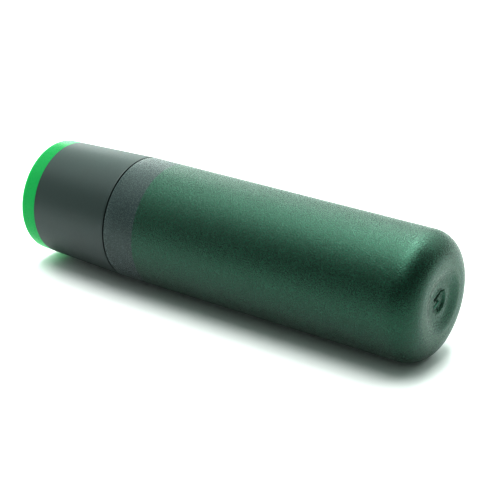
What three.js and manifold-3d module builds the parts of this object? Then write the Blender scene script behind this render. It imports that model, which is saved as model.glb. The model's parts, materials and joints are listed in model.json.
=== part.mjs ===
// A compact traffic baton light, lying on its side. A frosted wand screws onto a short base by a two-start
// thread, and the base ends in a light-guide ring with a push button in its flat end. A battery carousel
// with an LED mast is keyed to the base, so that they turn together, and a snap ring holds it in the wand.
//
// Units are millimetres. Every piece is modelled along +X from the joint line between base and wand (x = 0).
// The finished baton is then moved so that it lies on the plane z = 0, with its box centred on the origin.

import * as THREE from "three";
import { mergeVertices } from "three/addons/utils/BufferGeometryUtils.js";
import Module from "manifold-3d";

const wasm = await Module();
wasm.setup();

// ---------------------------------------------------------------- driving dimensions

const BODY_RADIUS = 20;
const WAND_LENGTH = 110;
const BASE_LENGTH = 36.6;
const TAIL_RADIUS = 18.7; // the base narrows from BODY_RADIUS to this
const RING_LENGTH = 6.1; // the bright light-guide ring at the tail
const TIP_CORNER = 8; // radius of the wand's rounded end
const JOINT_GAP = 0.4; // the line seen between base and wand
const FIT_GAP = 0.1; // between pieces that touch face to face
const SLIP_GAP = 0.3; // between pieces that move on each other

const COLLAR_RADIUS = 17; // the dark collar that carries the base and stands out into the wand
const COLLAR_BORE = 15.2;
const COLLAR_REACH = 11.7;

const THREAD_LEAD = 6;
const THREAD_STARTS = 2;
const THREAD_TURNS = 0.75; // length of each start
const THREAD_DEPTH = 0.75;
const THREAD_ROOT_WIDTH = 1.3;
const THREAD_CREST_WIDTH = 0.7;
const THREAD_ROOT_SINK = 0.15; // how far a ridge is sunk into the wall that it stands on

const MOUTH_BORE = COLLAR_RADIUS + THREAD_DEPTH + 0.25;
const WAND_BORE = 17;
const WAND_SHOULDER = 15.2; // station where the mouth bore steps down to the wand's bore
const END_WALL = 3.4;

const CELL_RADIUS = 6;
const CELL_LENGTH = 30.2; // an N cell, terminal included
const CELL_TERMINAL = 0.8;
const CELL_PITCH_RADIUS = 7.8;
const CELL_ANGLES = [30, 150, 270]; // degrees about +X, from +Y

const STRIP_ANGLE = 210; // the carousel's return strip runs between two cells
const STRIP_RADIUS = 13.2; // from the axis to the strip's inner face
const STRIP_THICKNESS = 0.4;
const STRIP_WIDTH = 3;

const BOARD = 1.6; // thickness of every circuit board
const BUTTON_RADIUS = 7;
const BUTTON_RECESS = 0.6; // how far the button lies below the tail's flat end
const MAST_LED_PITCH = 12;
const MAST_LEDS_PER_SIDE = 6;

// How many sides a turned piece has. Each is a multiple of four, so that a flat facet lies lowest.
const FINE = 48;
const MEDIUM = 36;
const COARSE = 24;
const SMALL = 12;

// ---------------------------------------------------------------- stations along the axis

const JOINT_FACE = JOINT_GAP / 2;
const TAIL_FACE = -BASE_LENGTH;
const RING_FRONT = TAIL_FACE + RING_LENGTH;
const TAIL_WALL_INSIDE = TAIL_FACE + 2.2;
const GUIDE_PLUG_END = RING_FRONT + 2.3; // the light guide's plug ends here, in front of the tail LEDs
const TAIL_BOARD_REAR = GUIDE_PLUG_END + 1.3;
const TAIL_BOARD_FRONT = TAIL_BOARD_REAR + BOARD;
const LEDGE_REAR = TAIL_BOARD_FRONT + 0.2;
const LEDGE_FRONT = LEDGE_REAR + 1.7;
const CAROUSEL_REAR = -22;
const BAY_REAR = CAROUSEL_REAR + 1.4;
const BAY_FRONT = 12.3;
const CELL_FRONT = BAY_FRONT - 0.4;
const SNAP_RING_REAR = COLLAR_REACH + 0.6;
const SNAP_RING_FRONT = SNAP_RING_REAR + 0.8;
const FLANGE_REAR = SNAP_RING_FRONT + SLIP_GAP;
const FLANGE_FRONT = WAND_SHOULDER - SLIP_GAP;
const DRIVER_BOARD_REAR = WAND_SHOULDER + FIT_GAP;
const DRIVER_BOARD_FRONT = DRIVER_BOARD_REAR + BOARD;
const MAST_REAR = DRIVER_BOARD_FRONT + 1.8;
const MAST_FRONT = 98;
const FIRST_MAST_LED = 32;
const BUTTON_FACE = TAIL_FACE + BUTTON_RECESS;
const BUTTON_SEAL_FRONT = TAIL_WALL_INSIDE + 0.9;
const BUTTON_FLANGE_FRONT = BUTTON_SEAL_FRONT + 1.3;
const SWITCH_REAR = -30.3;

const MIDDLE = (WAND_LENGTH - BASE_LENGTH) / 2;
const REST_HEIGHT = BODY_RADIUS * Math.cos(Math.PI / FINE); // the lowest facet lies flat on the plane

// ---------------------------------------------------------------- materials

const plastic = (color, roughness) => new THREE.MeshStandardMaterial({ color, roughness, metalness: 0 });
const metal = (color, roughness) => new THREE.MeshStandardMaterial({ color, roughness, metalness: 1 });

const MATERIALS = {
  wandPlastic: plastic(0x1f4f38, 0.55),
  basePlastic: plastic(0x3f4a46, 0.5),
  guidePlastic: plastic(0x18b558, 0.3),
  collarPlastic: plastic(0x17191a, 0.6),
  framePlastic: plastic(0x222425, 0.65),
  whitePlastic: plastic(0xe6e6e2, 0.6),
  buttonRubber: plastic(0x1b1e1d, 0.8),
  sealRubber: plastic(0x101111, 0.85),
  board: plastic(0x14502f, 0.5),
  chip: plastic(0x0d0d0e, 0.4),
  ledBody: plastic(0xf2f2ea, 0.35),
  cellJacket: metal(0xb7babd, 0.35),
  nickel: metal(0xc9c6bd, 0.3),
};

// ---------------------------------------------------------------- geometry helpers

const radians = THREE.MathUtils.degToRad;
const baseRadius = (x) => THREE.MathUtils.mapLinear(x, 0, TAIL_FACE, BODY_RADIUS, TAIL_RADIUS);
const around = (radius, degrees) => {
  const angle = radians(degrees);
  return [radius * Math.cos(angle), radius * Math.sin(angle)];
};

// Points [x, radius] of a profile's round corner. 0 degrees points along +X and 90 away from the axis.
function corner(x, r, cornerRadius, fromDegrees, toDegrees, steps) {
  return Array.from({ length: steps + 1 }, (_, i) => {
    const angle = radians(fromDegrees + ((toDegrees - fromDegrees) * i) / steps);
    return [x + cornerRadius * Math.cos(angle), r + cornerRadius * Math.sin(angle)];
  });
}

// Turns a profile of [x, radius] points about the X axis. The outside runs towards +X, so that faces point
// out; a profile that doesn't start on the axis is closed on itself. A facet, not an edge, lies lowest.
function turned(profile, sides) {
  const points = profile.map(([x, r]) => new THREE.Vector2(r, x));
  if (points[0].x > 0) points.push(points[0].clone());
  return new THREE.LatheGeometry(points, sides).rotateZ(-Math.PI / 2).rotateX(Math.PI / sides);
}

const disc = (fromX, toX, radius, sides) =>
  turned([[fromX, 0], [fromX, radius], [toX, radius], [toX, 0]], sides);

const tube = (fromX, toX, bore, radius, sides) =>
  turned([[fromX, bore], [fromX, radius], [toX, radius], [toX, bore]], sides);

// A block between two stations, centred on the axis and then moved to y, z.
function block(fromX, toX, width, height, y = 0, z = 0) {
  return new THREE.BoxGeometry(toX - fromX, width, height).translate((fromX + toX) / 2, y, z);
}

function solid(geometry) {
  const bare = geometry.index ? geometry.toNonIndexed() : geometry.clone();
  bare.deleteAttribute("normal");
  bare.deleteAttribute("uv");
  const merged = mergeVertices(bare, 1e-4);
  return new wasm.Manifold(
    new wasm.Mesh({
      numProp: 3,
      vertProperties: merged.attributes.position.array,
      triVerts: new Uint32Array(merged.index.array),
    }),
  );
}

function geometryOf(manifold) {
  const mesh = manifold.getMesh();
  const geometry = new THREE.BufferGeometry();
  geometry.setAttribute("position", new THREE.BufferAttribute(mesh.vertProperties, 3));
  geometry.setIndex(new THREE.BufferAttribute(mesh.triVerts, 1));
  geometry.computeVertexNormals();
  return geometry;
}

const join = (first, ...others) =>
  geometryOf(others.reduce((whole, other) => whole.add(solid(other)), solid(first)));

const cut = (first, ...others) =>
  geometryOf(others.reduce((whole, other) => whole.subtract(solid(other)), solid(first)));

// A right-handed helical ridge of trapezoid section, closed at both ends.
function helicalRidge({ rootRadius, crestRadius, start, phase }) {
  const steps = THREAD_TURNS * MEDIUM;
  const outward = [
    [-THREAD_ROOT_WIDTH / 2, rootRadius],
    [-THREAD_CREST_WIDTH / 2, crestRadius],
    [THREAD_CREST_WIDTH / 2, crestRadius],
    [THREAD_ROOT_WIDTH / 2, rootRadius],
  ];
  const section = crestRadius > rootRadius ? outward : outward.reverse();
  const positions = [];
  for (let i = 0; i <= steps; i++) {
    const turn = (THREAD_TURNS * i) / steps;
    const angle = phase + 2 * Math.PI * turn;
    for (const [dx, r] of section) {
      positions.push(start + THREAD_LEAD * turn + dx, r * Math.cos(angle), r * Math.sin(angle));
    }
  }
  const last = steps * 4;
  const index = [0, 1, 2, 0, 2, 3, last, last + 2, last + 1, last, last + 3, last + 2];
  for (let i = 0; i < steps; i++) {
    for (let k = 0; k < 4; k++) {
      const [a, b] = [i * 4 + k, i * 4 + ((k + 1) % 4)];
      index.push(a, a + 4, b + 4, a, b + 4, b);
    }
  }
  const geometry = new THREE.BufferGeometry();
  geometry.setAttribute("position", new THREE.Float32BufferAttribute(positions, 3));
  return geometry.setIndex(index);
}

function threadRidges(rootRadius, crestRadius, start) {
  return Array.from({ length: THREAD_STARTS }, (_, k) =>
    helicalRidge({ rootRadius, crestRadius, start, phase: (2 * Math.PI * k) / THREAD_STARTS }),
  );
}

class CoilPath extends THREE.Curve {
  constructor(fromX, toX, radius, turns) {
    super();
    Object.assign(this, { fromX, toX, radius, turns });
  }
  getPoint(t, target = new THREE.Vector3()) {
    const angle = 2 * Math.PI * this.turns * t;
    const x = THREE.MathUtils.lerp(this.fromX, this.toX, t);
    return target.set(x, this.radius * Math.cos(angle), this.radius * Math.sin(angle));
  }
}

// A coil spring about the X axis that fills the space between two stations.
function coilSpring(fromX, toX, radius, wire, turns) {
  const sides = 6;
  const stepsPerTurn = 14;
  const section = Array.from({ length: sides }, (_, i) => {
    const angle = (2 * Math.PI * i) / sides;
    return new THREE.Vector2((wire / 2) * Math.cos(angle), (wire / 2) * Math.sin(angle));
  });
  return new THREE.ExtrudeGeometry(new THREE.Shape(section), {
    steps: turns * stepsPerTurn,
    extrudePath: new CoilPath(fromX + wire / 2, toX - wire / 2, radius, turns),
  });
}

// A pan-head screw driven towards +X. Its head rests on the station headFront.
function screw(headFront, headRadius, headHeight, shankRadius, shankLength) {
  const headRear = headFront - headHeight;
  return turned(
    [
      [headRear, 0],
      [headRear, headRadius * 0.7],
      [headRear + headHeight / 2, headRadius],
      [headFront, headRadius],
      [headFront, shankRadius],
      [headFront + shankLength, shankRadius],
      [headFront + shankLength, 0],
    ],
    SMALL,
  );
}

// ---------------------------------------------------------------- the assembly

const baton = new THREE.Group();

function place(name, geometry, material, [y, z] = [0, 0]) {
  const mesh = new THREE.Mesh(geometry, material);
  mesh.name = name;
  mesh.position.set(0, y, z);
  baton.add(mesh);
}

// ---------------------------------------------------------------- the wand

// The end face of the wand, as [x, radius] points from the rounded corner to the axis: a shallow dish with the
// well of the moulding gate in its middle.
function wandEndFace() {
  const dish = 1.0;
  const dishRadius = BODY_RADIUS - TIP_CORNER;
  const gateRadius = 3.9;
  const gateDepth = 0.8;
  const steps = [1, 2, 3, 4].map((i) => i / 4);
  const slope = steps.map((t) => [
    WAND_LENGTH - dish * t * t * (3 - 2 * t),
    dishRadius - (dishRadius - gateRadius - 0.5) * t,
  ]);
  return [
    ...slope,
    [WAND_LENGTH - dish, gateRadius],
    [WAND_LENGTH - dish - gateDepth * 0.8, gateRadius * 0.6],
    [WAND_LENGTH - dish - gateDepth, 0],
  ];
}

// The frosted tube with a rounded, dished end. Its mouth carries the inner thread, a groove for the snap ring
// and the shoulder that holds the carousel's flange.
function wandShell() {
  const innerCorner = 5.5;
  const bottom = WAND_LENGTH - END_WALL;
  const groove = { from: SNAP_RING_REAR - 0.2, to: SNAP_RING_FRONT + 0.2, radius: MOUTH_BORE + 0.5 };
  const edge = 0.3;
  const shell = turned(
    [
      [bottom, 0],
      ...corner(bottom - innerCorner, WAND_BORE - innerCorner, innerCorner, 0, 90, 4),
      [WAND_SHOULDER, WAND_BORE],
      [WAND_SHOULDER, MOUTH_BORE],
      [groove.to, MOUTH_BORE],
      [groove.to, groove.radius],
      [groove.from, groove.radius],
      [groove.from, MOUTH_BORE],
      [JOINT_FACE, MOUTH_BORE],
      [JOINT_FACE, BODY_RADIUS - edge],
      [JOINT_FACE + edge, BODY_RADIUS],
      ...corner(WAND_LENGTH - TIP_CORNER, BODY_RADIUS - TIP_CORNER, TIP_CORNER, 90, 0, 8),
      ...wandEndFace(),
    ],
    FINE,
  );
  return join(shell, ...threadRidges(MOUTH_BORE + THREAD_ROOT_SINK, MOUTH_BORE - THREAD_DEPTH, 3.4));
}

// The open snap ring that holds the carousel's flange in the wand.
function snapRing() {
  const ring = tube(SNAP_RING_REAR, SNAP_RING_FRONT, MOUTH_BORE - 1.6, MOUTH_BORE + 0.2, MEDIUM);
  const opening = block(SNAP_RING_REAR - 1, SNAP_RING_FRONT + 1, 6, 6, 0, -MOUTH_BORE);
  return cut(ring, opening);
}

place("wand_shell", wandShell(), MATERIALS.wandPlastic);
place("snap_ring", snapRing(), MATERIALS.nickel);

// ---------------------------------------------------------------- the base

function baseShell() {
  const bore = COLLAR_RADIUS + SLIP_GAP;
  const rear = RING_FRONT + FIT_GAP;
  const edge = 0.3;
  return turned(
    [
      [rear, bore],
      [rear, baseRadius(rear)],
      [-JOINT_FACE - edge, baseRadius(-JOINT_FACE - edge)],
      [-JOINT_FACE, BODY_RADIUS - edge],
      [-JOINT_FACE, bore],
    ],
    FINE,
  );
}

const SEAL_GROOVE = { from: 0.7, to: 2.4, radius: 16.1 };
const BOARD_SCREW_ANGLES = [45, 165, 285];
const BOARD_SCREW_RADIUS = 13.6;
const BOARD_SCREW_HOLE = 0.9;

const boardScrewHoles = (fromX, toX) =>
  BOARD_SCREW_ANGLES.map((angle) => {
    const [y, z] = around(BOARD_SCREW_RADIUS, angle);
    return disc(fromX, toX, BOARD_SCREW_HOLE, SMALL).translate(0, y, z);
  });

// The dark collar: it carries the base shell, holds the tail board on a ledge and keys the carousel, and its
// free end carries the seal and the outer thread.
function collar() {
  const ledgeBore = 12.2;
  const chamfer = 0.5;
  const keyDepth = 0.9;
  const sleeve = turned(
    [
      [RING_FRONT + SLIP_GAP, COLLAR_BORE],
      [RING_FRONT + SLIP_GAP, COLLAR_RADIUS],
      [SEAL_GROOVE.from, COLLAR_RADIUS],
      [SEAL_GROOVE.from, SEAL_GROOVE.radius],
      [SEAL_GROOVE.to, SEAL_GROOVE.radius],
      [SEAL_GROOVE.to, COLLAR_RADIUS],
      [COLLAR_REACH - chamfer, COLLAR_RADIUS],
      [COLLAR_REACH, COLLAR_RADIUS - chamfer],
      [COLLAR_REACH, COLLAR_BORE],
      [LEDGE_FRONT, COLLAR_BORE],
      [LEDGE_FRONT, ledgeBore],
      [LEDGE_REAR, ledgeBore],
      [LEDGE_REAR, COLLAR_BORE],
    ],
    MEDIUM,
  );
  const keyHeight = COLLAR_BORE - keyDepth / 2 + 0.2;
  const key = block(LEDGE_FRONT + 0.6, COLLAR_REACH - 1, 2, keyDepth + 0.4, 0, keyHeight);
  const threaded = join(
    sleeve,
    key,
    ...threadRidges(COLLAR_RADIUS - THREAD_ROOT_SINK, COLLAR_RADIUS + THREAD_DEPTH, 4.9),
  );
  return cut(threaded, ...boardScrewHoles(LEDGE_REAR - 1, LEDGE_FRONT + 1));
}

// The seal between collar and wand: a ring of round section in the collar's groove.
function wandSeal() {
  const section = 0.75;
  const middle = (SEAL_GROOVE.from + SEAL_GROOVE.to) / 2;
  const loop = corner(middle, SEAL_GROOVE.radius + section + FIT_GAP, section, 180, -180, 8).slice(0, -1);
  return turned(loop, MEDIUM);
}

// The bright light guide: the ring and flat end of the tail, with a plug in the collar that takes light from
// the tail LEDs, and a hole for the button.
function tailRing() {
  const edge = 1.3;
  const plugRadius = COLLAR_BORE - 0.2;
  const bore = 13.4;
  return turned(
    [
      [TAIL_FACE, BUTTON_RADIUS + SLIP_GAP],
      ...corner(TAIL_FACE + edge, baseRadius(TAIL_FACE + edge) - edge, edge, 180, 90, 4),
      [RING_FRONT, baseRadius(RING_FRONT)],
      [RING_FRONT, plugRadius],
      [GUIDE_PLUG_END, plugRadius],
      [GUIDE_PLUG_END, bore],
      [TAIL_WALL_INSIDE, bore],
      [TAIL_WALL_INSIDE, BUTTON_RADIUS + SLIP_GAP],
    ],
    FINE,
  );
}

function switchBody() {
  const side = 9;
  const hole = disc(SWITCH_REAR - 1, SWITCH_REAR + 2.4, 1.9, SMALL);
  return cut(block(SWITCH_REAR, TAIL_BOARD_REAR - FIT_GAP, side, side), hole);
}

// The spring contact on the tail board that meets the carousel's return strip.
function returnPin() {
  const front = CAROUSEL_REAR - 2 * FIT_GAP - STRIP_THICKNESS;
  return turned(
    [
      [TAIL_BOARD_FRONT + FIT_GAP, 0],
      [TAIL_BOARD_FRONT + FIT_GAP, 1.4],
      [front - 0.8, 1.4],
      [front - 0.8, 0.8],
      [front, 0.8],
      [front, 0],
    ],
    SMALL,
  );
}

place("base_shell", baseShell(), MATERIALS.basePlastic);
place("collar", collar(), MATERIALS.collarPlastic);
place("wand_seal", wandSeal(), MATERIALS.sealRubber);
place("tail_ring", tailRing(), MATERIALS.guidePlastic);
place(
  "button_seal",
  tube(TAIL_WALL_INSIDE + FIT_GAP, BUTTON_SEAL_FRONT, BUTTON_RADIUS + SLIP_GAP, 9.6, COARSE),
  MATERIALS.sealRubber,
);
place("switch_body", switchBody(), MATERIALS.framePlastic);
place(
  "tail_board",
  cut(
    disc(TAIL_BOARD_REAR, TAIL_BOARD_FRONT, COLLAR_BORE - SLIP_GAP, MEDIUM),
    ...boardScrewHoles(TAIL_BOARD_REAR - 1, TAIL_BOARD_FRONT + 1),
  ),
  MATERIALS.board,
);
BOARD_SCREW_ANGLES.forEach((angle, i) => {
  const body = screw(TAIL_BOARD_REAR - FIT_GAP, 1.45, 0.9, 0.65, 3);
  place(`board_screw_${i + 1}`, body, MATERIALS.nickel, around(BOARD_SCREW_RADIUS, angle));
});
[0, 90, 180, 270].forEach((angle, i) => {
  const led = block(TAIL_BOARD_REAR - 1, TAIL_BOARD_REAR - FIT_GAP, 1.4, 2.2).rotateX(radians(angle));
  place(`tail_led_${i + 1}`, led, MATERIALS.ledBody, around(14, angle));
});
place("return_pin", returnPin(), MATERIALS.nickel, around(10.4, STRIP_ANGLE));
place(
  "tail_spring",
  coilSpring(TAIL_BOARD_FRONT + FIT_GAP, CAROUSEL_REAR - 0.5, 4, 0.6, 2),
  MATERIALS.nickel,
);

// ---------------------------------------------------------------- the button

// The push button: a dished pad behind the hole in the tail's end, kept in by its flange.
function tailButton() {
  const flangeRadius = 9.2;
  const rim = 0.6;
  return turned(
    [
      [BUTTON_FACE + 0.4, 0],
      [BUTTON_FACE + 0.3, BUTTON_RADIUS * 0.5],
      [BUTTON_FACE, BUTTON_RADIUS - rim],
      [BUTTON_FACE + rim, BUTTON_RADIUS],
      [BUTTON_SEAL_FRONT + FIT_GAP, BUTTON_RADIUS],
      [BUTTON_SEAL_FRONT + FIT_GAP, flangeRadius],
      [BUTTON_FLANGE_FRONT, flangeRadius],
      [BUTTON_FLANGE_FRONT, 0],
    ],
    MEDIUM,
  );
}

place("tail_button", tailButton(), MATERIALS.buttonRubber);
place(
  "switch_plunger",
  disc(BUTTON_FLANGE_FRONT + FIT_GAP, SWITCH_REAR + 0.5, 1.6, SMALL),
  MATERIALS.whitePlastic,
);

// ---------------------------------------------------------------- the battery carousel and its cells

// The carousel's frame: two end plates on a three-armed spine with a bay for each cell, a slot for the
// collar's key, a channel for the return strip and the flange that turns in the wand.
function carouselFrame() {
  const radius = COLLAR_BORE - 0.4;
  const flangeRadius = MOUTH_BORE - SLIP_GAP;
  const blank = turned(
    [
      [CAROUSEL_REAR, 0],
      [CAROUSEL_REAR, radius],
      [FLANGE_REAR, radius],
      [FLANGE_REAR, flangeRadius],
      [FLANGE_FRONT, flangeRadius],
      [FLANGE_FRONT, radius],
      [WAND_SHOULDER, radius],
      [WAND_SHOULDER, 0],
    ],
    MEDIUM,
  );
  const bayRadius = CELL_RADIUS + 0.25;
  const bays = CELL_ANGLES.flatMap((angle) => [
    disc(BAY_REAR, BAY_FRONT, bayRadius, COARSE).translate(0, CELL_PITCH_RADIUS, 0).rotateX(radians(angle)),
    block(BAY_REAR, BAY_FRONT, radius, 2 * bayRadius, CELL_PITCH_RADIUS + radius / 2).rotateX(radians(angle)),
  ]);
  const keySlot = block(CAROUSEL_REAR - 1, FLANGE_REAR - SLIP_GAP, 2.6, 3, 0, radius + 0.4);
  const channelFloor = STRIP_RADIUS - FIT_GAP;
  const channel = block(
    CAROUSEL_REAR - 1,
    WAND_SHOULDER + 1,
    radius + FIT_GAP - channelFloor,
    STRIP_WIDTH + 2 * SLIP_GAP,
    (radius + FIT_GAP + channelFloor) / 2,
  ).rotateX(radians(STRIP_ANGLE));
  return cut(blank, ...bays, keySlot, channel);
}

// The metal strip that carries the current past the cells, with a foot on the carousel's rear plate.
function returnStrip() {
  const rear = CAROUSEL_REAR - FIT_GAP - STRIP_THICKNESS;
  const outer = STRIP_RADIUS + STRIP_THICKNESS;
  const footInner = 9;
  const run = block(
    rear,
    DRIVER_BOARD_REAR - FIT_GAP,
    STRIP_THICKNESS,
    STRIP_WIDTH,
    STRIP_RADIUS + STRIP_THICKNESS / 2,
  );
  const foot = block(rear, rear + STRIP_THICKNESS, outer - footInner, STRIP_WIDTH, (outer + footInner) / 2);
  return join(run, foot).rotateX(radians(STRIP_ANGLE));
}

function cell() {
  const rear = CELL_FRONT - CELL_LENGTH;
  const shoulder = CELL_FRONT - CELL_TERMINAL;
  return turned(
    [
      [rear, 0],
      [rear, CELL_RADIUS - 0.4],
      [rear + 0.4, CELL_RADIUS],
      [shoulder - 0.4, CELL_RADIUS],
      [shoulder, CELL_RADIUS - 0.4],
      [shoulder, 2.2],
      [CELL_FRONT, 2.2],
      [CELL_FRONT, 0],
    ],
    COARSE,
  );
}

place("carousel_frame", carouselFrame(), MATERIALS.framePlastic);
place("rear_contact", disc(CAROUSEL_REAR - 0.4, CAROUSEL_REAR - FIT_GAP, 5, COARSE), MATERIALS.nickel);
place("return_strip", returnStrip(), MATERIALS.nickel);
CELL_ANGLES.forEach((angle, i) => {
  const centre = around(CELL_PITCH_RADIUS, angle);
  const spring = coilSpring(BAY_REAR + FIT_GAP, CELL_FRONT - CELL_LENGTH - FIT_GAP, 3.2, 0.5, 2);
  place(`cell_${i + 1}`, cell(), MATERIALS.cellJacket, centre);
  place(`cell_spring_${i + 1}`, spring, MATERIALS.nickel, centre);
  const plate = disc(CELL_FRONT + 0.1, BAY_FRONT - 0.1, 3.2, SMALL);
  place(`cell_contact_${i + 1}`, plate, MATERIALS.nickel, centre);
});

// ---------------------------------------------------------------- the driver board and LED mast

const MAST_WIDTH = 10;

function mastSocket() {
  const slot = block(MAST_REAR - 0.3, MAST_REAR + 10, BOARD + 0.4, MAST_WIDTH + 0.4);
  return cut(block(DRIVER_BOARD_FRONT + FIT_GAP, MAST_REAR + 5, 6, MAST_WIDTH + 4), slot);
}

// The white cap on the mast's free end.
function mastCap() {
  const slot = block(MAST_FRONT - 10, MAST_FRONT + 0.3, BOARD + 0.4, MAST_WIDTH + 0.4);
  const cap = turned(
    [
      [MAST_FRONT - 2.5, 0],
      [MAST_FRONT - 2.5, 7.5],
      ...corner(MAST_FRONT + 1, 6, 1.5, 90, 0, 3),
      [MAST_FRONT + 2.5, 0],
    ],
    COARSE,
  );
  return cut(cap, slot);
}

// One LED of the mast, lying on the board's face and shining towards +Y.
function mastLed(x) {
  const side = 4.6;
  const height = 1.5;
  const floor = BOARD / 2 + FIT_GAP;
  const lens = new THREE.CylinderGeometry(1.3, 1.8, 0.8, 12).translate(x, floor + height + 0.3, 0);
  return join(block(x - side / 2, x + side / 2, height, side, floor + height / 2), lens);
}

place("driver_board", disc(DRIVER_BOARD_REAR, DRIVER_BOARD_FRONT, 14, MEDIUM), MATERIALS.board);
const chip = block(DRIVER_BOARD_FRONT + FIT_GAP, DRIVER_BOARD_FRONT + 1.6, 4, 5, 8, 4);
place("driver_chip", chip, MATERIALS.chip);
place(
  "driver_coil",
  disc(DRIVER_BOARD_FRONT + FIT_GAP, DRIVER_BOARD_FRONT + 3.2, 3, SMALL),
  MATERIALS.chip,
  [-8, 4],
);
place(
  "driver_capacitor",
  disc(DRIVER_BOARD_FRONT + FIT_GAP, DRIVER_BOARD_FRONT + 5.5, 2.5, SMALL),
  MATERIALS.cellJacket,
  [8, -5],
);
place("mast_socket", mastSocket(), MATERIALS.whitePlastic);
place("mast_board", block(MAST_REAR, MAST_FRONT, BOARD, MAST_WIDTH), MATERIALS.whitePlastic);
place("mast_cap", mastCap(), MATERIALS.whitePlastic);
for (let i = 0; i < MAST_LEDS_PER_SIDE; i++) {
  const x = FIRST_MAST_LED + i * MAST_LED_PITCH;
  place(`mast_led_left_${i + 1}`, mastLed(x), MATERIALS.ledBody);
  place(`mast_led_right_${i + 1}`, mastLed(x).rotateX(Math.PI), MATERIALS.ledBody);
}

baton.position.set(-MIDDLE, 0, REST_HEIGHT);

const part = new THREE.Group();
part.add(baton);
export default part;
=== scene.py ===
import json
import math

import bmesh
import bpy
from mathutils import Matrix, Vector


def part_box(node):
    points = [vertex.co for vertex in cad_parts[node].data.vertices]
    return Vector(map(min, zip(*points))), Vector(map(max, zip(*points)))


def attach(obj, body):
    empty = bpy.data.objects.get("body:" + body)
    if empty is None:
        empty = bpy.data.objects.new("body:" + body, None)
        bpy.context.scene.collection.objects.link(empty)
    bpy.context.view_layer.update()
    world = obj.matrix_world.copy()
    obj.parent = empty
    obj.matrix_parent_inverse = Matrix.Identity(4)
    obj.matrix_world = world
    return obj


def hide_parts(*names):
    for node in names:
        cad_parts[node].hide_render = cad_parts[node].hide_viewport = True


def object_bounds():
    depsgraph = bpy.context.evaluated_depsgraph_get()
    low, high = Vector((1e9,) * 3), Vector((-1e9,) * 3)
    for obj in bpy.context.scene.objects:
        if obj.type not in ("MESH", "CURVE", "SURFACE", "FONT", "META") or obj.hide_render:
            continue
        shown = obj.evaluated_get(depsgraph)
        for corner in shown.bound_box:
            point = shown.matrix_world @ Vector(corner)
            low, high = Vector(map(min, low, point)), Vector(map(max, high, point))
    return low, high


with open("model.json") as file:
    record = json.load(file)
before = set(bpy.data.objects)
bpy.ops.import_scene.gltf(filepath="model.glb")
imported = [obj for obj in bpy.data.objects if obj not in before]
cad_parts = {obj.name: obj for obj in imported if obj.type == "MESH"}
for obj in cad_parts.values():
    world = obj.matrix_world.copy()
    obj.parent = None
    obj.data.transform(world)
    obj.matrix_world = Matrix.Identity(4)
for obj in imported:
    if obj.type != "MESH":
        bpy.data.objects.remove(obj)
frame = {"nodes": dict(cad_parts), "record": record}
CAD_LOW, CAD_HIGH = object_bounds()

# ---------------------------------------------------------------- sizes, in millimetres
# Stations run along the baton's axis from the joint line between base and wand, towards the rounded tip.
# Bores, grooves and other sizes across the axis are radii.

MM = 0.001

wand_low, wand_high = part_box("wand_shell")
base_low, base_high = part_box("base_shell")
ring_low, ring_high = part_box("tail_ring")
collar_low, collar_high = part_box("collar")
button_low, button_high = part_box("tail_button")

AXIS_HEIGHT = (wand_low.z + wand_high.z) / 2
JOINT_LINE = (wand_low.x + base_high.x) / 2
TO_FRAME = Matrix.Translation((JOINT_LINE, 0, AXIS_HEIGHT))


def station(x):
    """The station, in mm from the joint line, of a frame coordinate in metres."""
    return (x - JOINT_LINE) / MM


WAND_RADIUS = (wand_high.z - wand_low.z) / 2 / MM
WAND_FRONT = station(wand_low.x)
WAND_END = station(wand_high.x)
TIP_WALL = 3.4
WAND_BOTTOM = WAND_END - TIP_WALL
WAND_BORE = 17.0
WAND_SHOULDER = 15.2  # station where the mouth's wider bore ends
MOUTH_BORE = 18.0
SNAP_GROOVE = (12.1, 13.3, 18.5)  # rear and front station and radius
TIP_CORNER = 8.0
TIP_DISH = 1.25
DISH_EDGE = (10.4, 5.3)  # radii between which the end face slopes down into its dish
GATE_RADIUS = 4.1
GATE_DEPTH = 0.7
GATE_SLOPE = 1.2  # width of the slope round the gate's well
SLIT_FLOOR = 0.25  # the torn slit gets near-black painted shade where it is deeper than this
LIP_TOP = 0.12  # and a torn lip gets a paler painted highlight where it is higher than this

BASE_FRONT = station(base_high.x)
BASE_REAR = station(base_low.x)
RING_REAR = station(ring_low.x)
RING_FRONT = BASE_REAR - 0.1
RING_PLUG_END = station(ring_high.x)
RING_CORNER = 1.3
TAIL_SHRINK = 1.3  # how much the base narrows from the joint line to its end

COLLAR_RADIUS = 17.0
COLLAR_BORE = 15.2
COLLAR_REAR = station(collar_low.x)
COLLAR_FRONT = station(collar_high.x)
SEAL_GROOVE = (0.7, 2.4, 16.1)  # rear and front station and radius
JOINT_EDGE = 0.12  # the small round on both edges of the joint line

THREAD_LEAD = 6.0
THREAD_STARTS = 2
THREAD_TURNS = 0.75
THREAD_RUN_OUT = 0.03  # share of a turn over which the thread rises at each end
THREAD_DEPTH = 0.75
THREAD_ROOT = 1.3  # width at the wall
THREAD_CREST = 0.7  # and at the top
FEMALE_START = 3.4
MALE_START = 4.9
THREAD_STEP = 0.15  # how far apart the points along a threaded wall lie

BUTTON_RADIUS = 7.0
BUTTON_REAR = station(button_low.x)
BUTTON_FRONT = station(button_high.x)

FINE = 192  # segments round the shells
CREASE_ANGLE = 38  # degrees; sharper edges aren't shaded smooth


def base_radius(x):
    """The base's outer radius at a station: it narrows evenly towards the tail."""
    return WAND_RADIUS - TAIL_SHRINK * x / RING_REAR


# ---------------------------------------------------------------- mesh helpers


def arc(x, r, radius, start, end, steps):
    """Points (x, r) of a round corner about the centre x, r, from one angle to another.

    Angles are in degrees: 0 points along +X and 90 away from the axis.
    """
    angles = [math.radians(start + (end - start) * i / steps) for i in range(steps + 1)]
    return [(x + radius * math.cos(a), r + radius * math.sin(a)) for a in angles]


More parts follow.
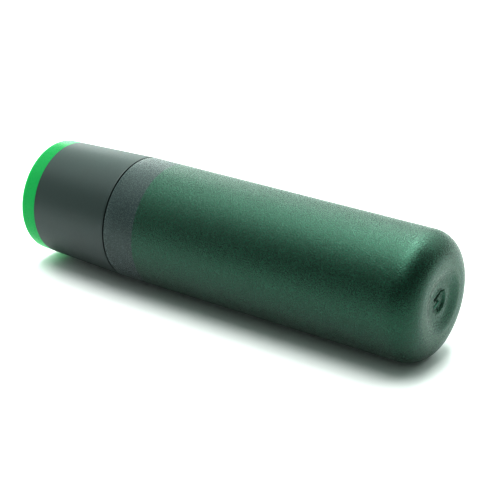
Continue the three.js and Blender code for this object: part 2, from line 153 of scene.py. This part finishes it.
def spread(start, end, step):
    """Evenly spaced values from start to end, both included, about a step apart."""
    count = max(1, round(abs(end - start) / step))
    return [start + (end - start) * i / count for i in range(count + 1)]


def ramp(value):
    """0 below 0, 1 above 1 and smooth between."""
    t = min(max(value, 0.0), 1.0)
    return t * t * (3 - 2 * t)


def add_object(name, bm):
    """Turns a bmesh in metres about the joint line into an object in the frame, smooth but for creases."""
    bmesh.ops.recalc_face_normals(bm, faces=bm.faces)
    mesh = bpy.data.meshes.new(name)
    bm.to_mesh(mesh)
    bm.free()
    mesh.transform(TO_FRAME)
    mesh.shade_smooth()
    mesh.set_sharp_from_angle(angle=math.radians(CREASE_ANGLE))
    obj = bpy.data.objects.new(name, mesh)
    bpy.context.scene.collection.objects.link(obj)
    return obj


def turned(name, profile, segments=FINE, shape=None):
    """A body of revolution about the baton's axis, from (station, radius) points in mm.

    A profile that doesn't start on the axis is closed on itself. shape(x, r, angle) may move each point
    along and across the axis.
    """
    bm = bmesh.new()
    rings = []
    for x, r in profile:
        ring = []
        for k in range(segments if r > 0 else 1):
            angle = 2 * math.pi * k / segments
            sx, sr = shape(x, r, angle) if shape else (x, r)
            place = (sx * MM, sr * MM * math.cos(angle), sr * MM * math.sin(angle))
            ring.append(bm.verts.new(place))
        rings.append(ring)
    pairs = list(zip(rings, rings[1:]))
    if profile[0][1] > 0:
        pairs.append((rings[-1], rings[0]))
    for a, b in pairs:
        for k in range(segments):
            corners = []
            for ring, i in ((a, k), (a, k + 1), (b, k + 1), (b, k)):
                vert = ring[i % len(ring)]
                if vert not in corners:
                    corners.append(vert)
            bm.faces.new(corners)
    return add_object(name, bm)


def thread_height(x, angle, start):
    """How far the two-start thread stands out of its wall at a station and angle, in mm."""
    height = 0.0
    for k in range(THREAD_STARTS):
        turn = (angle / (2 * math.pi) - k / THREAD_STARTS) % 1.0
        off = abs(x - start - THREAD_LEAD * turn)
        flank = (THREAD_ROOT / 2 - off) / ((THREAD_ROOT - THREAD_CREST) / 2)
        ends = min(turn, THREAD_TURNS - turn) / THREAD_RUN_OUT
        height = max(height, THREAD_DEPTH * min(max(flank, 0.0), 1.0) * ramp(ends))
    return height


# ---------------------------------------------------------------- the wand


def near_line(y, z, start, end, half_width):
    """1 on a straight line of the end face, falling to 0 at the half width, which grows towards the end.

    Places on the end face are (y, z) in mm from the axis, with y to the right as seen from the tip.
    """
    p, a, b = Vector((y, z)), Vector(start), Vector(end)
    t = min(max((p - a).dot(b - a) / (b - a).length_squared, 0.0), 1.0)
    return ramp(1 - (p - a.lerp(b, t)).length / (half_width * (0.4 + 0.6 * t)))


def gate_lips(y, z):
    """Height in mm of the torn lips that the moulding gate left in its well."""
    upper = 0.14 * near_line(y, z, (1.6, 2.9), (-1.9, 1.5), 0.6)
    lower = 0.3 * near_line(y, z, (1.2, -0.7), (-1.2, -1.7), 0.7)
    return upper + lower


def gate_slit(y, z):
    """Depth in mm of the torn slit, of the pin hole beside its end and of a short split below them."""
    slit = 0.7 * near_line(y, z, (3.2, 2.5), (-1.2, 0.5), 0.75)
    split = 0.4 * near_line(y, z, (0.4, -3.6), (0.5, -2.3), 0.5)
    return slit + split + 0.6 * ramp(1 - Vector((y - 0.3, z + 0.3)).length / 0.6)


def wand_shape(x, r, angle):
    """Raises the inner thread in the mouth and the gate's relief in the well of the end face."""
    relief_edge, fade = GATE_RADIUS + 0.1, 0.5
    if x > WAND_BOTTOM and r < relief_edge:
        inside = ramp((relief_edge - r) / fade)
        y, z = r * math.cos(angle), r * math.sin(angle)
        return x + inside * (gate_lips(y, z) - gate_slit(y, z)), r
    if r == MOUTH_BORE:
        return x, r - thread_height(x, angle, FEMALE_START)
    return x, r


def wand_end_face():
    """Points (x, r) from the rounded corner over the dished face into the gate's well, to the axis."""
    flat_radius = WAND_RADIUS - TIP_CORNER
    step = 0.11
    outer, inner = DISH_EDGE
    points = []
    for r in spread(flat_radius, 0, step)[1:]:
        dish = TIP_DISH * ramp((outer - r) / (outer - inner))
        well = GATE_DEPTH * ramp((GATE_RADIUS - r) / GATE_SLOPE)
        points.append((WAND_END - dish - well, r))
    return points


def make_wand():
    """The wand's outer and inner wall as one profile, from the bottom of the bore round to the end face."""
    inner_corner = 5.5
    straight_bore_end = 95.0
    thread_from, thread_to = 2.5, 8.9
    rear, front, groove_radius = SNAP_GROOVE
    profile = [(WAND_BOTTOM, 0.0)]
    profile += [(WAND_BOTTOM, r) for r in (3.0, 6.0, 9.0)]
    profile += arc(WAND_BOTTOM - inner_corner, WAND_BORE - inner_corner, inner_corner, 0, 90, 10)
    profile += [(x, WAND_BORE) for x in spread(straight_bore_end, WAND_SHOULDER, 10)]
    profile += [(WAND_SHOULDER, MOUTH_BORE), (front, MOUTH_BORE), (front, groove_radius)]
    profile += [(rear, groove_radius), (rear, MOUTH_BORE)]
    profile += [(x, MOUTH_BORE) for x in spread(thread_to, thread_from, THREAD_STEP)]
    profile += [(WAND_FRONT, MOUTH_BORE)]
    profile += arc(WAND_FRONT + JOINT_EDGE, WAND_RADIUS - JOINT_EDGE, JOINT_EDGE, 180, 90, 4)
    profile += [(x, WAND_RADIUS) for x in spread(3, COLLAR_FRONT, 3)]
    profile += [(x, WAND_RADIUS) for x in spread(COLLAR_FRONT + 3, WAND_END - TIP_CORNER - 3, 6)]
    profile += arc(WAND_END - TIP_CORNER, WAND_RADIUS - TIP_CORNER, TIP_CORNER, 90, 0, 24)
    profile += wand_end_face()
    return turned("wand", profile, shape=wand_shape)


# ---------------------------------------------------------------- the base


def make_base():
    """The sleeve round the collar."""
    bore = COLLAR_RADIUS + 0.3
    profile = [(BASE_REAR, bore), (BASE_REAR, base_radius(BASE_REAR))]
    profile += [(x, base_radius(x)) for x in spread(BASE_REAR + 1, BASE_FRONT - 1, 3)]
    profile += arc(BASE_FRONT - JOINT_EDGE, base_radius(BASE_FRONT) - JOINT_EDGE, JOINT_EDGE, 90, 0, 4)
    profile += [(BASE_FRONT, bore)]
    return turned("base", profile)


def make_ring():
    """The tail cap: its rim is the bright ring with its painted glow, and its plug sits in the collar."""
    hole = BUTTON_RADIUS + 0.3
    hole_edge = 0.4
    plug = COLLAR_BORE - 0.2
    bore = 13.4
    wall = RING_REAR + 2.2
    outer = base_radius(RING_REAR + RING_CORNER)
    profile = arc(RING_REAR + hole_edge, hole + hole_edge, hole_edge, 270, 180, 4)
    profile += [(RING_REAR, r) for r in (9.0, 12.0, 15.0)]
    profile += arc(RING_REAR + RING_CORNER, outer - RING_CORNER, RING_CORNER, 180, 90, 12)
    profile += [(x, base_radius(x)) for x in spread(RING_REAR + 2, RING_FRONT, 1.4)]
    profile += [(RING_FRONT, plug), (RING_PLUG_END, plug), (RING_PLUG_END, bore)]
    profile += [(wall, bore), (wall, hole)]
    return turned("tail_cap_painted_glow", profile)


def collar_shape(x, r, angle):
    """Raises the outer thread on the collar's free end."""
    if r == COLLAR_RADIUS:
        return x, r + thread_height(x, angle, MALE_START)
    return x, r


def make_collar():
    """The dark sleeve with the seal's groove and the outer thread."""
    groove_rear, groove_front, groove_radius = SEAL_GROOVE
    thread_from, thread_to = 4.0, 10.4
    chamfer = 0.5
    profile = [(COLLAR_REAR, COLLAR_BORE), (COLLAR_REAR, COLLAR_RADIUS)]
    profile += [(groove_rear, COLLAR_RADIUS), (groove_rear, groove_radius)]
    profile += [(groove_front, groove_radius), (groove_front, COLLAR_RADIUS)]
    profile += [(x, COLLAR_RADIUS) for x in spread(thread_from, thread_to, THREAD_STEP)]
    profile += [(COLLAR_FRONT - chamfer, COLLAR_RADIUS), (COLLAR_FRONT, COLLAR_RADIUS - chamfer)]
    profile += [(COLLAR_FRONT, COLLAR_BORE)]
    return turned("threaded_collar", profile, shape=collar_shape)


def make_button():
    """The push button: a dished pad with low grip rings and a flange."""
    flange = 9.2
    flange_rear = BUTTON_FRONT - 1.3
    rim = 0.6
    dish_depth, dish_radius = 0.4, 5.5
    pad_depth, pad_radius = 0.1, 6.0
    grip_height, grip_spacing, grip_start, grip_end = 0.09, 1.2, 1.5, 5.8
    profile = []
    for r in spread(0, BUTTON_RADIUS - rim, 0.12):
        dish = dish_depth * ramp(1 - r / dish_radius)
        pad = pad_depth * ramp((pad_radius - r) / 0.5)
        wave = grip_height * math.sin(2 * math.pi * r / grip_spacing)
        grip = wave * ramp(r / grip_start) * ramp((grip_end - r) / 0.6)
        profile.append((BUTTON_REAR + dish + pad - grip, r))
    profile += arc(BUTTON_REAR + rim, BUTTON_RADIUS - rim, rim, 180, 90, 6)[1:]
    profile += [(flange_rear, BUTTON_RADIUS), (flange_rear, flange)]
    profile += [(BUTTON_FRONT, flange), (BUTTON_FRONT, 0.0)]
    return turned("push_button", profile, segments=96)


# ---------------------------------------------------------------- materials


class Look:
    """One procedural material on a Principled shader, built node by node."""

    def __init__(self, name, **sockets):
        self.material = bpy.data.materials.new(name)
        self.material.use_nodes = True
        self.tree = self.material.node_tree
        self.shader = self.tree.nodes["Principled BSDF"]
        self.output = self.tree.nodes["Material Output"]
        self.place = self.tree.nodes.new("ShaderNodeTexCoord").outputs["Object"]
        for socket, value in sockets.items():
            self.shader.inputs[socket.replace("_", " ")].default_value = value

    def node(self, kind, inputs=None, **settings):
        made = self.tree.nodes.new(kind)
        for key, value in settings.items():
            setattr(made, key, value)
        for key, value in (inputs or {}).items():
            self.feed(made.inputs[key], value)
        return made

    def feed(self, socket, value):
        if isinstance(value, bpy.types.NodeSocket):
            self.tree.links.new(value, socket)
        else:
            socket.default_value = value

    def noise(self, size, detail=2.0, rough=0.5, stretch=(1, 1, 1)):
        """Noise of about that feature size in mm, from 0 to 1."""
        scale = self.node("ShaderNodeVectorMath", {0: self.place, 1: stretch}, operation="MULTIPLY")
        inputs = {"Vector": scale.outputs[0], "Scale": 1 / (size * MM)}
        inputs.update({"Detail": detail, "Roughness": rough})
        return self.node("ShaderNodeTexNoise", inputs).outputs["Fac"]

    def remap(self, value, low, high, to_low=0.0, to_high=1.0):
        """A value stretched from one range to another, without leaving the second."""
        inputs = {"Value": value, "From Min": low, "From Max": high, "To Min": to_low, "To Max": to_high}
        return self.node("ShaderNodeMapRange", inputs).outputs["Result"]

    def mix(self, factor, first, second):
        """A blend of two colours, each a tuple or a node's output."""
        inputs = {"Factor": factor, 6: (*first, 1) if isinstance(first, tuple) else first}
        inputs[7] = (*second, 1) if isinstance(second, tuple) else second
        return self.node("ShaderNodeMix", inputs, data_type="RGBA").outputs[2]

    def colour(self, value):
        self.feed(self.shader.inputs["Base Color"], value)

    def roughness(self, value):
        self.feed(self.shader.inputs["Roughness"], value)

    def let_through(self, colour, share):
        """Lets a share of the light pass through the wall, scattered and in that colour."""
        glow = self.node("ShaderNodeBsdfTranslucent", {"Color": (*colour, 1)})
        inputs = {0: share, 1: self.shader.outputs[0], 2: glow.outputs[0]}
        blend = self.node("ShaderNodeMixShader", inputs)
        self.feed(self.output.inputs["Surface"], blend.outputs[0])

    def bump(self, pattern, height):
        """Bumps of a height in mm after a pattern; a second call adds to the first."""
        normal = self.shader.inputs["Normal"]
        inputs = {"Height": pattern, "Distance": height * MM, "Strength": 1.0}
        if normal.is_linked:
            inputs["Normal"] = normal.links[0].from_socket
        self.feed(normal, self.node("ShaderNodeBump", inputs).outputs["Normal"])


def frosted(name, dark, light, speck, through_colour, through_share, **sockets):
    """Frosted plastic: a sandy grain in colour, gloss and relief, and some light passes through."""
    look = Look(name, Sheen_Weight=0.1, Sheen_Roughness=0.3, **sockets)
    grain = look.noise(0.38, 2.0, 0.7)
    cloud = look.noise(9.0, 2.0, 0.5)
    tint = look.mix(look.remap(cloud, 0.3, 0.7), dark, light)
    look.colour(look.mix(look.remap(grain, 0.52, 0.66), tint, speck))
    look.roughness(look.remap(grain, 0.3, 0.7, 0.2, 0.34))
    look.bump(grain, 0.14)
    look.let_through(through_colour, through_share)
    return look.material


def frosted_wand():
    """Nearly black plastic whose gloss is green."""
    colours = ((0.0, 0.002, 0.001), (0.0, 0.005, 0.002), (0.005, 0.054, 0.033), (0.01, 0.3, 0.1))
    tint = (0.47, 1.0, 0.75, 1)
    return frosted("frosted_green_plastic", *colours, 0.05, IOR=1.6, Specular_IOR_Level=0.74,
                   Specular_Tint=tint)


def frosted_painted_collar_shade():
    """The same plastic where the dark collar lies close behind it at rest. Painted shade: a greyer colour
    and plain gloss stand in for the green light that the collar behind the wall takes away; the band is
    fixed to the wand.
    """
    colours = ((0.021, 0.034, 0.036), (0.027, 0.042, 0.045), (0.05, 0.075, 0.075), (0.1, 0.4, 0.3))
    tint = (0.87, 1.0, 0.93, 1)
    return frosted("frosted_plastic_painted_collar_shade", *colours, 0.04, IOR=1.6, Specular_IOR_Level=0.41,
                   Specular_Tint=tint)


def torn_lip_painted_highlight():
    """The glossier plastic where the gate was torn off, on its raised lips; its paler colour is a painted
    highlight.
    """
    look = Look("torn_lip_plastic_painted_highlight", IOR=1.6, Specular_IOR_Level=0.7, Specular_Tint=(0.7, 1.0, 0.9, 1))
    crumb = look.noise(0.35, 2.0, 0.6)
    look.colour(look.mix(crumb, (0.015, 0.09, 0.055), (0.05, 0.22, 0.15)))
    look.roughness(look.remap(crumb, 0.3, 0.7, 0.2, 0.35))
    look.bump(crumb, 0.08)
    return look.material


def clear_inner_wall():
    """The smooth inside of the frosted wand, which passes on the light that the outside scatters."""
    look = Look("clear_green_inner_wall", Roughness=0.3)
    look.colour(look.mix(look.noise(3.0), (0.02, 0.12, 0.06), (0.03, 0.15, 0.08)))
    look.let_through((0.75, 0.95, 0.85), 0.92)
    return look.material


def satin_base():
    """Smooth satin plastic with faint lines round the sleeve."""
    look = Look("grey_green_plastic", IOR=1.5, Specular_IOR_Level=0.93, Specular_Tint=(0.92, 1.0, 1.0, 1))
    cloud = look.noise(7.0, 2.0, 0.5)
    fine = look.noise(0.25, 2.0, 0.5)
    lines = look.noise(0.5, 1.0, 0.5, stretch=(1, 0.04, 0.04))
    look.colour(look.mix(look.remap(cloud, 0.3, 0.7), (0.0, 0.009, 0.007), (0.0005, 0.012, 0.01)))
    look.roughness(look.remap(fine, 0.3, 0.7, 0.4, 0.5))
    look.bump(lines, 0.008)
    look.bump(fine, 0.008)
    return look.material


def bright_ring():
    """Bright green plastic that lets light through; its emission is a painted glow that stands in for the
    light passing through it from behind.
    """
    # The emission is painted glow for light passing through the ring.
    look = Look("bright_green_plastic_painted_glow", IOR=1.5, Specular_IOR_Level=0.12, Subsurface_Weight=1.0,
                Subsurface_Scale=6 * MM, Subsurface_Radius=(0.25, 1.0, 0.5),
                Emission_Color=(0.07, 1.0, 0.3, 1), Emission_Strength=0.3)
    cloud = look.noise(5.0, 2.0, 0.5)
    fine = look.noise(0.4)
    look.colour(look.mix(look.remap(cloud, 0.3, 0.7), (0.006, 0.135, 0.043), (0.008, 0.151, 0.048)))
    look.roughness(look.remap(fine, 0.3, 0.7, 0.25, 0.34))
    look.bump(fine, 0.006)
    return look.material


def moulded(name, dark, light, rough, grain=0.3, height=0.012):
    """Plain moulded plastic or rubber: a slight change of shade, a fine grain and uneven gloss."""
    look = Look(name, IOR=1.5)
    cloud = look.noise(4.0, 3.0, 0.55)
    fine = look.noise(grain, 2.0, 0.55)
    look.colour(look.mix(look.remap(cloud, 0.3, 0.7), dark, light))
    look.roughness(look.remap(fine, 0.3, 0.7, rough - 0.06, rough + 0.08))
    look.bump(fine, height)
    return look.material


def plated(name, dark, light, rough):
    """Plated or bare metal with fine drawn lines and a little tarnish."""
    look = Look(name, Metallic=1.0)
    stain = look.noise(2.5, 3.0, 0.6)
    drawn = look.noise(0.12, 1.0, 0.5, stretch=(0.15, 1, 1))
    look.colour(look.mix(look.remap(stain, 0.35, 0.75), light, dark))
    look.roughness(look.remap(stain, 0.3, 0.7, rough - 0.05, rough + 0.12))
    look.bump(drawn, 0.004)
    return look.material


def circuit_board():
    """Green solder mask over a faint weave and patches of copper."""
    look = Look("solder_mask", IOR=1.5)
    weave = look.node("ShaderNodeTexWave", {"Vector": look.place, "Scale": 900.0, "Distortion": 1.5})
    patches = look.noise(1.6, 0.0, 0.5)
    mask = look.mix(look.remap(weave.outputs["Fac"], 0.2, 0.9), (0.006, 0.05, 0.022), (0.01, 0.075, 0.033))
    copper = look.remap(patches, 0.6, 0.63)
    look.colour(look.mix(copper, mask, (0.018, 0.115, 0.05)))
    look.roughness(look.remap(patches, 0.3, 0.7, 0.3, 0.42))
    look.bump(copper, 0.03)
    return look.material


MATERIALS = {
    "frosted_green_shell": frosted_wand(),
    "painted_collar_shade": frosted_painted_collar_shade(),
    "inner_wall": clear_inner_wall(),
    "torn_lip_painted_highlight": torn_lip_painted_highlight(),
    # Near-black painted shade in the deep slit, pin hole and split of the torn gate.
    "gate_slit": moulded("gate_slit_painted_shade", (0.0005, 0.003, 0.002), (0.001, 0.006, 0.004), 0.5,
                         grain=0.2, height=0.01),
    "grey_green_shell": satin_base(),
    "bright_green_guide": bright_ring(),
    "dark_collar": moulded("dark_collar_plastic", (0.012, 0.013, 0.013), (0.018, 0.02, 0.02), 0.5),
    "black_plastic": moulded("black_moulded_plastic", (0.012, 0.012, 0.013), (0.02, 0.02, 0.022), 0.5),
    "black_rubber": moulded("black_rubber", (0.012, 0.013, 0.013), (0.02, 0.021, 0.021), 0.72,
                            grain=0.2, height=0.02),
    "white_plastic": moulded("white_moulded_plastic", (0.68, 0.68, 0.64), (0.76, 0.76, 0.73), 0.5),
    "green_board": circuit_board(),
    "cell_jacket": plated("printed_cell_jacket", (0.36, 0.37, 0.39), (0.5, 0.51, 0.53), 0.35),
    "nickel": plated("nickel_plate", (0.45, 0.42, 0.37), (0.66, 0.63, 0.58), 0.25),
    "led_package": moulded("led_package", (0.62, 0.58, 0.3), (0.8, 0.78, 0.6), 0.3,
                           grain=0.4, height=0.01),
}

# The wand's materials, in the order of their places on the wand's mesh.
WAND_SURFACES = ["frosted_green_shell", "painted_collar_shade", "inner_wall", "torn_lip_painted_highlight", "gate_slit"]

replaced = set()  # the CAD nodes that a piece of this script stands for


def finish_piece(obj, body, slot, *nodes):
    """Gives a new piece its material, its body and the CAD nodes that it stands for."""
    obj.data.materials.append(MATERIALS[slot])
    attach(obj, body)
    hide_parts(*nodes)
    replaced.update(nodes)


def wand_surface(x, y, z):
    """The material at a point of the wand: x is its station, and y and z are in mm from the axis."""
    slack = 0.1
    radius = math.hypot(y, z)
    bore = SNAP_GROOVE[2] if x < WAND_SHOULDER + slack else WAND_BORE
    if radius < bore + slack and x < WAND_BOTTOM + slack:
        return "inner_wall"
    # Painted collar shade: a band fixed to the wand where the collar lies behind it at rest.
    if x < COLLAR_FRONT:
        return "painted_collar_shade"
    # painted shade in the slit's depth
    if radius < GATE_RADIUS and gate_slit(y, z) > SLIT_FLOOR:
        return "gate_slit"
    # paler painted highlight on the raised torn lips
    if radius < GATE_RADIUS and gate_lips(y, z) > LIP_TOP:
        return "torn_lip_painted_highlight"
    return "frosted_green_shell"


wand = make_wand()
finish_piece(wand, "wand", "frosted_green_shell", "wand_shell")
for surface in WAND_SURFACES[1:]:
    wand.data.materials.append(MATERIALS[surface])
for polygon in wand.data.polygons:
    x, y, z = polygon.center
    surface = wand_surface(station(x), y / MM, (z - AXIS_HEIGHT) / MM)
    polygon.material_index = WAND_SURFACES.index(surface)
finish_piece(make_base(), "base", "grey_green_shell", "base_shell")
finish_piece(make_ring(), "base", "bright_green_guide", "tail_ring")
finish_piece(make_collar(), "base", "dark_collar", "collar")
finish_piece(make_button(), "button", "black_rubber", "tail_button")

for part in frame["record"]["subparts"]:
    if part["node"] not in replaced:
        materials = frame["nodes"][part["node"]].data.materials
        materials.clear()
        materials.append(MATERIALS[part["material_slot"]])


# ---------------------------------------------------------------- floor, lights and camera


def make_floor():
    """A white table, from the origin 3 m to each side."""
    size = 3.0
    mesh = bpy.data.meshes.new("floor")
    corners = [(-size, -size, 0), (size, -size, 0), (size, size, 0), (-size, size, 0)]
    mesh.from_pydata(corners, [], [(0, 1, 2, 3)])
    floor = bpy.data.objects.new("floor", mesh)
    bpy.context.scene.collection.objects.link(floor)
    look = Look("white_table", Roughness=0.6)
    look.colour(look.mix(look.noise(60.0), (0.86, 0.86, 0.86), (0.88, 0.88, 0.88)))
    mesh.materials.append(look.material)


def direction(azimuth, elevation):
    """The unit vector towards an azimuth, where 0 is -Y and 90 is +X, and an elevation, both in degrees."""
    around, above = math.radians(azimuth), math.radians(elevation)
    level = math.cos(above)
    return Vector((math.sin(around) * level, -math.cos(around) * level, math.sin(above)))


def softbox(name, azimuth, elevation, size, power, distance=1.5, aim=0.0):
    """A soft panel in that direction from a point of the baton's axis, which it faces.

    Sizes, the distance and the point's x are in metres, and power is in watts.
    """
    outward = direction(azimuth, elevation)
    lamp = bpy.data.lights.new(name, "AREA")
    lamp.shape = "RECTANGLE"
    lamp.size, lamp.size_y = size
    lamp.energy = power
    obj = bpy.data.objects.new(name, lamp)
    bpy.context.scene.collection.objects.link(obj)
    obj.location = Vector((aim, 0, AXIS_HEIGHT)) + distance * outward
    obj.rotation_euler = outward.to_track_quat("Z", "Y").to_euler()


def make_lights():
    """The soft panels, with azimuth, elevation, size and power, and the walls' light."""
    softbox("overhead_softbox", 225, 78, (1.0, 0.9), 14.3)
    softbox("front_overhead_softbox", 0, 76, (0.7, 0.6), 10.4)
    softbox("high_back_softbox", 225, 56, (0.6, 0.6), 3.6)
    softbox("left_softbox", 298, 48, (1.3, 0.7), 4.2)
    softbox("low_left_softbox", 234, 12, (0.8, 0.5), 4.0)
    softbox("back_softbox", 195, 33, (1.0, 0.6), 3.0)
    softbox("back_right_softbox", 146, 38, (0.7, 0.6), 4.5)
    softbox("front_left_fill", 300, 12, (0.6, 0.6), 1.5)
    softbox("small_back_lamp", 206, 28, (0.1, 0.1), 0.3, distance=1.0)
    softbox("small_top_lamp", 215, 84, (0.12, 0.12), 1.4)
    softbox("tip_back_lamp", 196, 58, (0.06, 0.06), 0.42, distance=0.35, aim=0.092)
    make_world()


def make_world():
    """Even, slightly green light from the walls, dimmer on the side of the camera."""
    full_strength = 1.65
    dim_share = 0.3
    dim_side = direction(40, 0) + Vector((0, 0, 0.25))
    dimming_starts, dimming_ends = -0.6, 0.25  # how far towards the dim side
    wall_colour = (0.83, 1, 0.92, 1)
    world = bpy.data.worlds.new("studio")
    world.use_nodes = True
    tree = world.node_tree
    place = tree.nodes.new("ShaderNodeTexCoord")
    toward = tree.nodes.new("ShaderNodeVectorMath")
    toward.operation = "DOT_PRODUCT"
    toward.inputs[1].default_value = dim_side
    dim = tree.nodes.new("ShaderNodeMapRange")
    dim.interpolation_type = "SMOOTHSTEP"
    dim.inputs["From Min"].default_value = dimming_starts
    dim.inputs["From Max"].default_value = dimming_ends
    dim.inputs["To Min"].default_value = 1.0
    dim.inputs["To Max"].default_value = dim_share
    strength = tree.nodes.new("ShaderNodeMath")
    strength.operation = "MULTIPLY"
    strength.inputs[1].default_value = full_strength
    background = tree.nodes["Background"]
    background.inputs["Color"].default_value = wall_colour
    tree.links.new(place.outputs["Generated"], toward.inputs[0])
    tree.links.new(toward.outputs["Value"], dim.inputs["Value"])
    tree.links.new(dim.outputs["Result"], strength.inputs[0])
    tree.links.new(strength.outputs["Value"], background.inputs["Strength"])
    bpy.context.scene.world = world


def make_camera():
    """The photo's view: the camera aims a little beside the middle of the object. Distances are in mm."""
    azimuth, elevation, distance = 35.2, 23.755, 440.26
    aim_right, aim_down = 4.99, 2.1
    right = direction(azimuth + 90, 0)
    back = direction(azimuth, elevation)
    up = back.cross(right)
    aim = (CAD_LOW + CAD_HIGH) / 2 + aim_right * MM * right - aim_down * MM * up
    data = bpy.data.cameras.new("camera")
    data.sensor_width = 36.0
    data.lens = 101.47
    data.clip_start = 0.01
    data.clip_end = 20
    camera = bpy.data.objects.new("camera", data)
    bpy.context.scene.collection.objects.link(camera)
    camera.location = aim + back * distance * MM
    camera.rotation_euler = back.to_track_quat("Z", "Y").to_euler()
    bpy.context.scene.camera = camera


make_floor()
make_lights()
make_camera()
display = bpy.context.scene.view_settings
display.view_transform = "Standard"
display.gamma = 0.7  # the photo is contrasty
